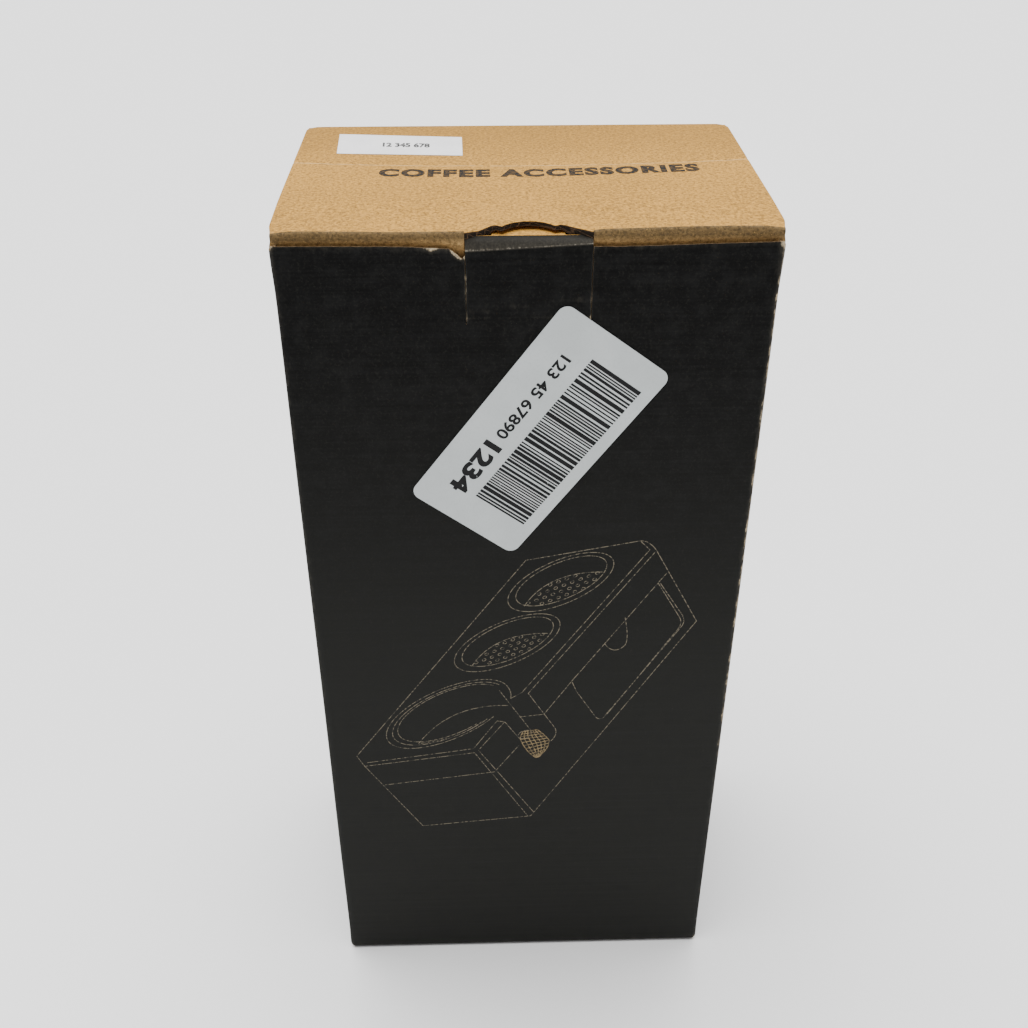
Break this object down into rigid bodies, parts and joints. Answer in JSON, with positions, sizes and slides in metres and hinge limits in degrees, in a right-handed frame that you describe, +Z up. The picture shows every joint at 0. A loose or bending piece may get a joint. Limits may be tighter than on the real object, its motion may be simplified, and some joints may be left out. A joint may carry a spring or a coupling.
{
  "type": "boxed espresso knock box",
  "caption": "Tall black corrugated carton with a tuck-in kraft lid and a lock tab, packed on end around a knock-box station with wells, a drawer and trays.",
  "frame": {"origin": "on the floor, under the middle of the carton", "axes": "+Z up, along the carton's height; -Y is the front with the lock tab; +X is the right side"},
  "size_m": [0.14, 0.1003, 0.3002],
  "materials": {
    "printed_board": "black flexo print on corrugated board, matt",
    "kraft_board": "plain kraft liner, matt",
    "label_paper": "white label stock, low sheen",
    "moulded_pulp": "moulded pulp, rough",
    "walnut": "oiled walnut",
    "silicone": "matt black silicone",
    "steel": "brushed"
  },
  "bodies": {
    "carton": {"front_panel": "printed_board", "back_panel": "printed_board", "left_panel": "printed_board", "right_panel": "printed_board", "bottom_outer_flap": "printed_board", "glue_flap": "kraft_board", "bottom_inner_flap": "kraft_board", "bottom_left_flap": "kraft_board", "bottom_right_flap": "kraft_board", "front_label": "label_paper", "bottom_tray": "moulded_pulp", "top_tray": "moulded_pulp", "station_housing": "walnut", "station_top": "walnut", "drawer": "walnut", "tamper_well_liner": "silicone", "tamper_well_mat": "silicone", "distributor_well_liner": "silicone", "distributor_well_mat": "silicone", "portafilter_well_liner": "silicone", "portafilter_well_mat": "silicone", "neck_rest": "silicone", "knock_sleeve": "silicone", "foot_1": "silicone", "foot_2": "silicone", "foot_3": "silicone", "foot_4": "silicone", "knock_bar": "steel", "screw_1": "steel", "screw_2": "steel", "screw_3": "steel", "screw_4": "steel"},
    "lid": {"lid_panel": "kraft_board", "lid_label": "label_paper"},
    "tuck_flap": {"tuck_flap": "kraft_board"},
    "lock_tab": {"lock_tab": "printed_board", "lock_tongue": "kraft_board"},
    "left_dust_flap": {"left_dust_flap": "kraft_board"},
    "right_dust_flap": {"right_dust_flap": "kraft_board"}
  },
  "joints": [
    {"name": "lid_hinge", "type": "hinge", "parent": "carton", "child": "lid", "pos_m": [0, 0.05, 0.2979], "axis": [-1, 0, 0], "range_deg": [0, 180], "deforming": ["lock_tongue"]},
    {"name": "tuck_hinge", "type": "hinge", "parent": "lid", "child": "tuck_flap", "pos_m": [0, -0.0479, 0.2982], "axis": [-1, 0, 0], "range_deg": [0, 27]},
    {"name": "left_dust_hinge", "type": "hinge", "parent": "carton", "child": "left_dust_flap", "pos_m": [-0.07, 0, 0.2959], "axis": [0, -1, 0], "range_deg": [0, 72]},
    {"name": "right_dust_hinge", "type": "hinge", "parent": "carton", "child": "right_dust_flap", "pos_m": [0.07, 0, 0.2959], "axis": [0, 1, 0], "range_deg": [0, 72]},
    {"name": "lock_tab_hinge", "type": "hinge", "parent": "carton", "child": "lock_tab", "pos_m": [0, -0.05, 0.2743], "axis": [1, 0, 0], "range_deg": [0, 90], "deforming": ["lock_tongue", "front_label"]}
  ],
  "couplings": [
    {"joint": "tuck_hinge", "follows": "lid_hinge", "ratio": 0.15},
    {"joint": "left_dust_hinge", "follows": "lid_hinge", "ratio": 0.4},
    {"joint": "right_dust_hinge", "follows": "lid_hinge", "ratio": 0.4}
  ]
}
